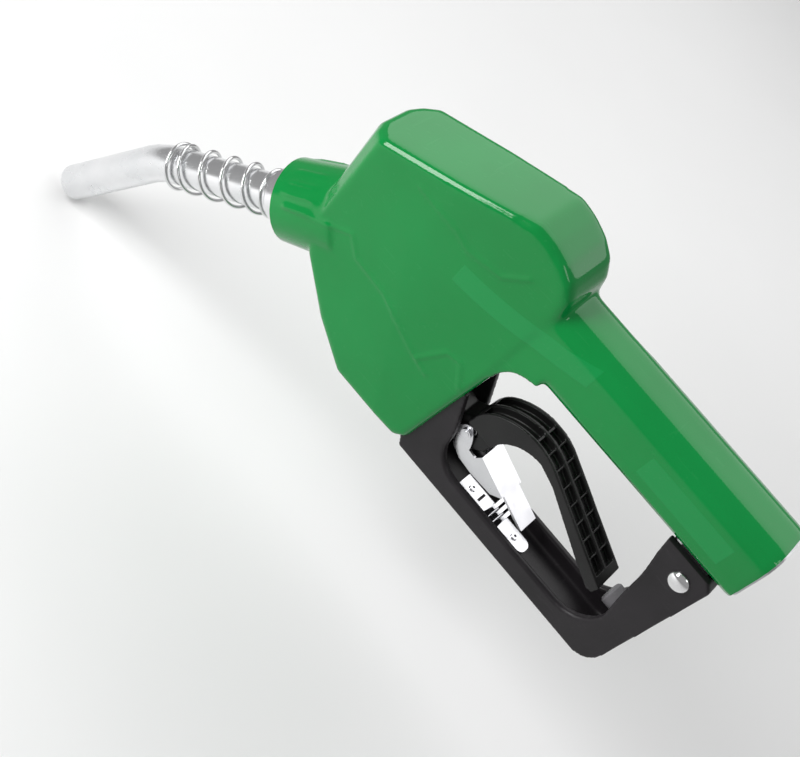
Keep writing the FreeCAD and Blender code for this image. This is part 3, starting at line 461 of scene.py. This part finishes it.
cover = {
    "skin": 2.4, "voxel": 1.1, "innerVoxel": 2.6, "passes": 9,
    # side outline of the body, x and z, clockwise from the top of the nose
    "outline": [(-272.5, 9.4), (-183, 45), (-172, 44), (-162, 41), (-153.5, 35.5), (-148, 27), (-146.3, 17),
                (-147, 5), (-148.6, -30), (-157.5, -112), (-163, -117.6), (-207.5, -117.6), (-233, -100),
                (-258.5, -75.5), (-270, -52)],
    # half plan of the body, x and y, from the nose to the handle
    "plan": [(-273.6, 7), (-269.5, 17.5), (-263, 24.8), (-213, 24), (-165, 20.6), (-143, 19.2)],
    # half front view, y and z
    "taper": [(24.9, 10), (21, -130)],
    "bodyStock": ((-300, -40, -140), (-100, 40, 70)),
    "gripHalfWidth": 18.95, "gripHalfHeight": 20.45, "gripRound": 12, "gripFront": -160, "gripRear": -1.2,
    "rearOver": 8, "edgeRound": 3.6, "edgeSteps": 4, "sharpAngle": 50,
    # fine raised lines: along the handle, y and z, and over the sides of the body, x and z
    "gripLines": [(15.6, 16.9), (18.3, -12.6)],
    "bodyLines": [
        [(-282, -66), (-259.5, -50.8), (-245.6, -41.1), (-236.3, -50), (-214.2, -51.5), (-185, -64.4),
         (-172.9, -67.9)],
        [(-234, 12.2), (-208.8, 10.5), (-198.4, 7.2), (-178.9, 11.2), (-169, 22)],
        [(-181.2, -64.5), (-172.4, -46.7), (-164.3, -45.2), (-156.3, -58)]],
    "lineRaise": 0.5, "lineWidth": 1.3,
    "collarMouth": (-285.6, 0, -78), "collarWay": (-0.7837, 0, -0.6211), "collarRadius": (22, 24.9),
    "collarBack": 40, "handleFrom": -118, "rimDepth": {"rear": 1.6, "mouth": 1.4},
    "guardSlot": {"x": (-166, -138), "z": (-125, -60)},
    "lugSlot": {"x": (-33, -13), "z": (-30, -14), "halfWidth": 11.6},
    "creases": (22, 40, 56, 72), "creaseRaise": 0.75, "creaseRun": (-30, -5),
    "web": {"low": (-153, -18.9, -39), "high": (-131, 18.9, -8), "round": 11},
    "arch": (-131, -38.7), "archRadius": 18.2, "archReach": 60, "slotHalfWidth": 16.4,
    "softRear": {"x": -192, "z": 2, "passes": 26},
}


def roundedEdges(piece, width):
    return applied(piece, "BEVEL", width=width * mm, segments=cover["edgeSteps"], limit_method="ANGLE",
                   angle_limit=math.radians(cover["sharpAngle"]))


def bodyBlank(inset, name):
    body = boxPiece(name, *cover["bodyStock"])
    outline = cover["outline"]
    for (x0, z0), (x1, z1) in zip(outline, outline[1:] + outline[:1]):
        normal = Vector((z0 - z1, 0, x1 - x0)).normalized()
        slicedBehind(body, Vector((x0, 0, z0)) - normal * inset, normal)
    for side in (-1, 1):
        for (x0, y0), (x1, y1) in zip(cover["plan"], cover["plan"][1:]):
            normal = Vector((y0 - y1, side * (x1 - x0), 0)).normalized()
            slicedBehind(body, Vector((x0, side * y0, 0)) - normal * inset, normal)
        (y0, z0), (y1, z1) = cover["taper"]
        normal = Vector((0, side * (z0 - z1), y1 - y0)).normalized()
        slicedBehind(body, Vector((0, side * y0, z0)) - normal * inset, normal)
    if inset == 0:
        roundedEdges(body, cover["edgeRound"])
    return body


def gripBlank(inset, rear, name):
    wide, tall = cover["gripHalfWidth"] - inset, cover["gripHalfHeight"] - inset
    grip = boxPiece(name, (cover["gripFront"], -wide, -tall), (rear, wide, tall))
    bpy.ops.object.mode_set(mode="EDIT")
    bpy.ops.mesh.select_mode(type="EDGE")
    bpy.ops.mesh.select_all(action="DESELECT")
    bpy.ops.object.mode_set(mode="OBJECT")
    # the outside is rounded at its ends too, and the hollow only along its length
    for edge in grip.data.edges:
        a, b = (grip.data.vertices[i].co for i in edge.vertices)
        edge.select = inset == 0 or abs(a.x - b.x) > 0.01
    bpy.ops.object.mode_set(mode="EDIT")
    bpy.ops.mesh.bevel(offset=(cover["gripRound"] - inset) * mm, segments=8)
    bpy.ops.object.mode_set(mode="OBJECT")
    return grip


def collarBlank(inset, ahead, name):
    mouth, way = Vector(cover["collarMouth"]), Vector(cover["collarWay"])
    front, rear = cover["collarRadius"]
    return rodPiece(name, mouth - way * cover["collarBack"], mouth + way * ahead, rear - inset, front - inset)


def bump(distance, width):
    return math.exp(-(distance / width) ** 2)


def fadeBetween(value, low, high, soft):
    return max(0, min(1, (value - low) / soft)) * max(0, min(1, (high - value) / soft))


def distanceToRoute(x, z, route):
    best = 1e9
    for (x0, z0), (x1, z1) in zip(route, route[1:]):
        runX, runZ = x1 - x0, z1 - z0
        share = max(0, min(1, ((x - x0) * runX + (z - z0) * runZ) / (runX ** 2 + runZ ** 2)))
        best = min(best, math.hypot(x - x0 - share * runX, z - z0 - share * runZ))
    return best


def raiseLines(skin):
    # creases of the dipped vinyl: over the collar, along the handle and on the sides
    mouth, way = Vector(cover["collarMouth"]), Vector(cover["collarWay"])
    up = Vector((way.z, 0, -way.x))
    (first, last), width = cover["creaseRun"], cover["lineWidth"]
    creaseFade, handleFade, handleEnd = 6, 12, 20
    spots = [(vertex, vertex.co / mm, vertex.normal.copy()) for vertex in skin.data.vertices]
    for vertex, place, normal in spots:
        along = (place - mouth).dot(way)
        lift = 0
        if first < along < last:
            out = place - mouth - way * along
            angle = math.degrees(math.atan2(abs(out.y), out.dot(up)))
            for crease in cover["creases"]:
                fade = fadeBetween(along, first, last, creaseFade)
                lift += cover["creaseRaise"] * bump(math.radians(angle - crease) * out.length, width) * fade
        if place.x > cover["handleFrom"]:
            for y, z in cover["gripLines"]:
                fade = fadeBetween(place.x, cover["handleFrom"], handleEnd, handleFade)
                lift += cover["lineRaise"] * bump(math.hypot(abs(place.y) - y, place.z - z), width) * fade
        elif abs(normal.y) > 0.7:
            for route in cover["bodyLines"]:
                lift += cover["lineRaise"] * bump(distanceToRoute(place.x, place.z, route), width)
        if lift > 0.01:
            vertex.co = (place + normal * lift) * mm


def archWeb():
    # fills the corner between body and handle with a rounded arch
    web = cover["web"]
    piece = boxPiece("archWeb", web["low"], web["high"])
    (archX, archZ), reach = cover["arch"], cover["archReach"]
    carved(piece, rodPiece("arch", (archX, -reach, archZ), (archX, reach, archZ),
                           cover["archRadius"], sides=72))
    return roundedEdges(piece, web["round"])


def coverBlank(inset, voxel, name):
    # both ends run over, and the skin is trimmed to length once it is smooth
    over = cover["rearOver"] + (2 if inset else 0)
    body, grip = bodyBlank(inset, name + "Body"), gripBlank(inset, over, name + "Grip")
    parts = [body, grip, collarBlank(inset, over, name + "Collar")]
    if inset == 0:
        parts.append(archWeb())
    blank = joined(parts, name)
    return applied(blank, "REMESH", mode="VOXEL", voxel_size=voxel * mm)


def slotBox(name, slot, half):
    (lowX, highX), (lowZ, highZ) = slot["x"], slot["z"]
    return boxPiece(name, (lowX, -half, lowZ), (highX, half, highZ))


def roundRims(skin):
    # takes the sharpness off the two open ends
    mouth, way = Vector(cover["collarMouth"]) * mm, Vector(cover["collarWay"])
    depth = cover["rimDepth"]
    rims = skin.vertex_groups.new(name="rims")
    near = [v.index for v in skin.data.vertices
            if v.co.x > (cover["gripRear"] - depth["rear"]) * mm
            or (v.co - mouth).dot(way) > -depth["mouth"] * mm]
    rims.add(near, 1.0, "REPLACE")
    applied(skin, "SMOOTH", factor=0.5, iterations=3, vertex_group="rims")


def makeCover():
    skin = coverBlank(0, cover["voxel"], "vinylCover")
    applied(skin, "SMOOTH", factor=0.5, iterations=cover["passes"])
    soft = cover["softRear"]
    rear = skin.vertex_groups.new(name="rear")
    chosen = [v.index for v in skin.data.vertices
              if soft["x"] * mm < v.co.x < cover["handleFrom"] * mm and v.co.z > soft["z"] * mm]
    rear.add(chosen, 1.0, "REPLACE")
    applied(skin, "SMOOTH", factor=0.5, iterations=soft["passes"], vertex_group="rear")
    raiseLines(skin)
    slicedBehind(skin, (cover["gripRear"], 0, 0), (1, 0, 0))
    slicedBehind(skin, cover["collarMouth"], cover["collarWay"])
    hollow = coverBlank(cover["skin"], cover["innerVoxel"], "coverHollow")
    carved(skin, hollow)
    carved(skin, slotBox("guardSlot", cover["guardSlot"], cover["slotHalfWidth"]))
    carved(skin, slotBox("lugSlot", cover["lugSlot"], cover["lugSlot"]["halfWidth"]))
    roundRims(skin)
    return smoothed(skin, 50)


coverPiece = finished(makeCover(), "nozzle", "vinyl", "hand_insulator")
print("cover made:", len(coverPiece.data.polygons), "faces")

# moulded and pressed pieces

mouldings = {
    "guard": {"voxel": 1.0, "passes": 3},
    "lever": {"voxel": 0.55, "passes": 2},
}

finished(moulded("lever_guard", "guardMoulding", **mouldings["guard"]), "nozzle", "guard_plastic",
         "lever_guard")
finished(moulded("trigger_lever", "leverMoulding", **mouldings["lever"]), "lever", "lever_plastic",
         "trigger_lever")
print("mouldings made")

# rear guard rivet: a shank with a domed, pressed head at each end

rivet = {"head": 5.9, "dome": 3.1, "shank": 2.95}


def makeGuardRivet():
    low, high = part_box("guard_rivet")
    x, z = (low.x + high.x) / 2 / mm, (low.z + high.z) / 2 / mm
    reach = high.y / mm - rivet["dome"]
    parts = [rodPiece("shank", (x, -reach, z), (x, reach, z), rivet["shank"], sides=40)]
    for side in (-1, 1):
        clearSelection()
        bpy.ops.mesh.primitive_uv_sphere_add(segments=48, ring_count=24, radius=rivet["head"] * mm)
        dome = newest("dome")
        dome.scale = (1, rivet["dome"] / rivet["head"], 1)
        dome.location = (x * mm, side * reach * mm, z * mm)
        settle(dome)
        slicedBehind(dome, (x, side * reach, z), (0, -side, 0))
        parts.append(dome)
    return smoothed(joined(parts, "guardRivet"), 40)


finished(makeGuardRivet(), "nozzle", "chrome_rivet", "guard_rivet")
print("rivet made")

# thread inside the hose inlet

inlet = {"radius": 12.1, "pitch": 1.814, "turns": 10, "height": 0.9, "sunk": 0.2, "start": -0.6, "steps": 48}


def makeInletThread():
    clearSelection()
    bpy.ops.mesh.primitive_circle_add(vertices=3, radius=inlet["height"] * mm, fill_type="NGON")
    thread = newest("inletThread")
    thread.rotation_euler = (math.radians(90), 0, 0)
    thread.location = ((inlet["radius"] - inlet["sunk"]) * mm, 0, 0)
    settle(thread)
    applied(thread, "SCREW", axis="Z", screw_offset=inlet["pitch"] * mm, iterations=inlet["turns"],
            steps=inlet["steps"], render_steps=inlet["steps"], use_normal_calculate=True)
    thread.rotation_euler = (0, math.radians(-90), 0)
    thread.location = (inlet["start"] * mm, 0, 0)
    return smoothed(settle(thread), 40)


finished(makeInletThread(), "nozzle", "casting")
print("inlet thread made")

# finishes on the CAD nodes that stay

for nodeName, node in frame["nodes"].items():
    node.data.materials.clear()
    node.data.materials.append(finishes[slotOf[nodeName]])

# floor, lights and camera

studio = {
    "floorDrop": 3, "floorSize": 12, "floorColour": (0.8, 0.8, 0.8), "floorSecond": (0.9, 0.9, 0.9),
    "floorGrain": {"Scale": 300.0, "Swell": 3.0}, "floorRough": 0.8,
    "world": (1.0, 1.0, 1.0), "worldStrength": 0.34,
    # name, place, width, height and power of each lamp, and the way its width runs
    "lamps": [
        ("skySoftbox", (-250, 640, 500), 1500, 640, 4.6, (1, 0, 0)),
        ("edgeStrip", (-774, -582, 453), 900, 260, 9.5, (0.27, -0.75, -0.63)),
        ("rearStrip", (330, -160, 500), 220, 220, 0.5, (0, 1, 0))],
    "eye": (-108.87, -537.0, 458.18), "right": (0.6437, 0.5948, 0.4815), "up": (-0.7594, 0.4184, 0.4983),
    "lens": 67.5, "sensor": 36,
}


def makeFloor():
    clearSelection()
    level = cadLow.z - studio["floorDrop"] * mm
    bpy.ops.mesh.primitive_plane_add(size=studio["floorSize"], location=(0, 0, level))
    floor = newest("studioFloor")
    material, tree, shader, place = startFinish("paleFloor")
    grain = placeGroup(tree, grainGroup, place, **studio["floorGrain"])
    tree.links.new(mixedColour(tree, grain.outputs["Tone"], studio["floorColour"], studio["floorSecond"]),
                   shader.inputs["Base Color"])
    shader.inputs["Roughness"].default_value = studio["floorRough"]
    floor.data.materials.append(material)


def makeLights():
    target = (cadLow + cadHigh) / 2
    for name, place, width, height, power, wide in studio["lamps"]:
        data = bpy.data.lights.new(name, "AREA")
        data.shape = "RECTANGLE"
        data.size = width * mm
        data.size_y = height * mm
        data.energy = power
        lamp = bpy.data.objects.new(name, data)
        back = (Vector(place) * mm - target).normalized()
        side = Vector(wide) - back * Vector(wide).dot(back)
        side.normalize()
        turn = Matrix((side, back.cross(side), back)).transposed().to_4x4()
        lamp.matrix_world = Matrix.Translation(Vector(place) * mm) @ turn
        bpy.context.scene.collection.objects.link(lamp)
    world = bpy.data.worlds.new("studioWorld")
    world.use_nodes = True
    sky = world.node_tree.nodes["Background"]
    sky.inputs["Color"].default_value = (*studio["world"], 1)
    sky.inputs["Strength"].default_value = studio["worldStrength"]
    bpy.context.scene.world = world


def makeCamera():
    data = bpy.data.cameras.new("studioCamera")
    data.lens = studio["lens"]
    data.sensor_width = studio["sensor"]
    camera = bpy.data.objects.new("studioCamera", data)
    right, up = Vector(studio["right"]).normalized(), Vector(studio["up"]).normalized()
    back = right.cross(up)
    turn = Matrix((right, up, back)).transposed().to_4x4()
    camera.matrix_world = Matrix.Translation(Vector(studio["eye"]) * mm) @ turn
    bpy.context.scene.collection.objects.link(camera)
    bpy.context.scene.camera = camera


bpy.context.scene.view_settings.view_transform = "Standard"
makeFloor()
makeLights()
makeCamera()
print("studio set")

clearSelection()
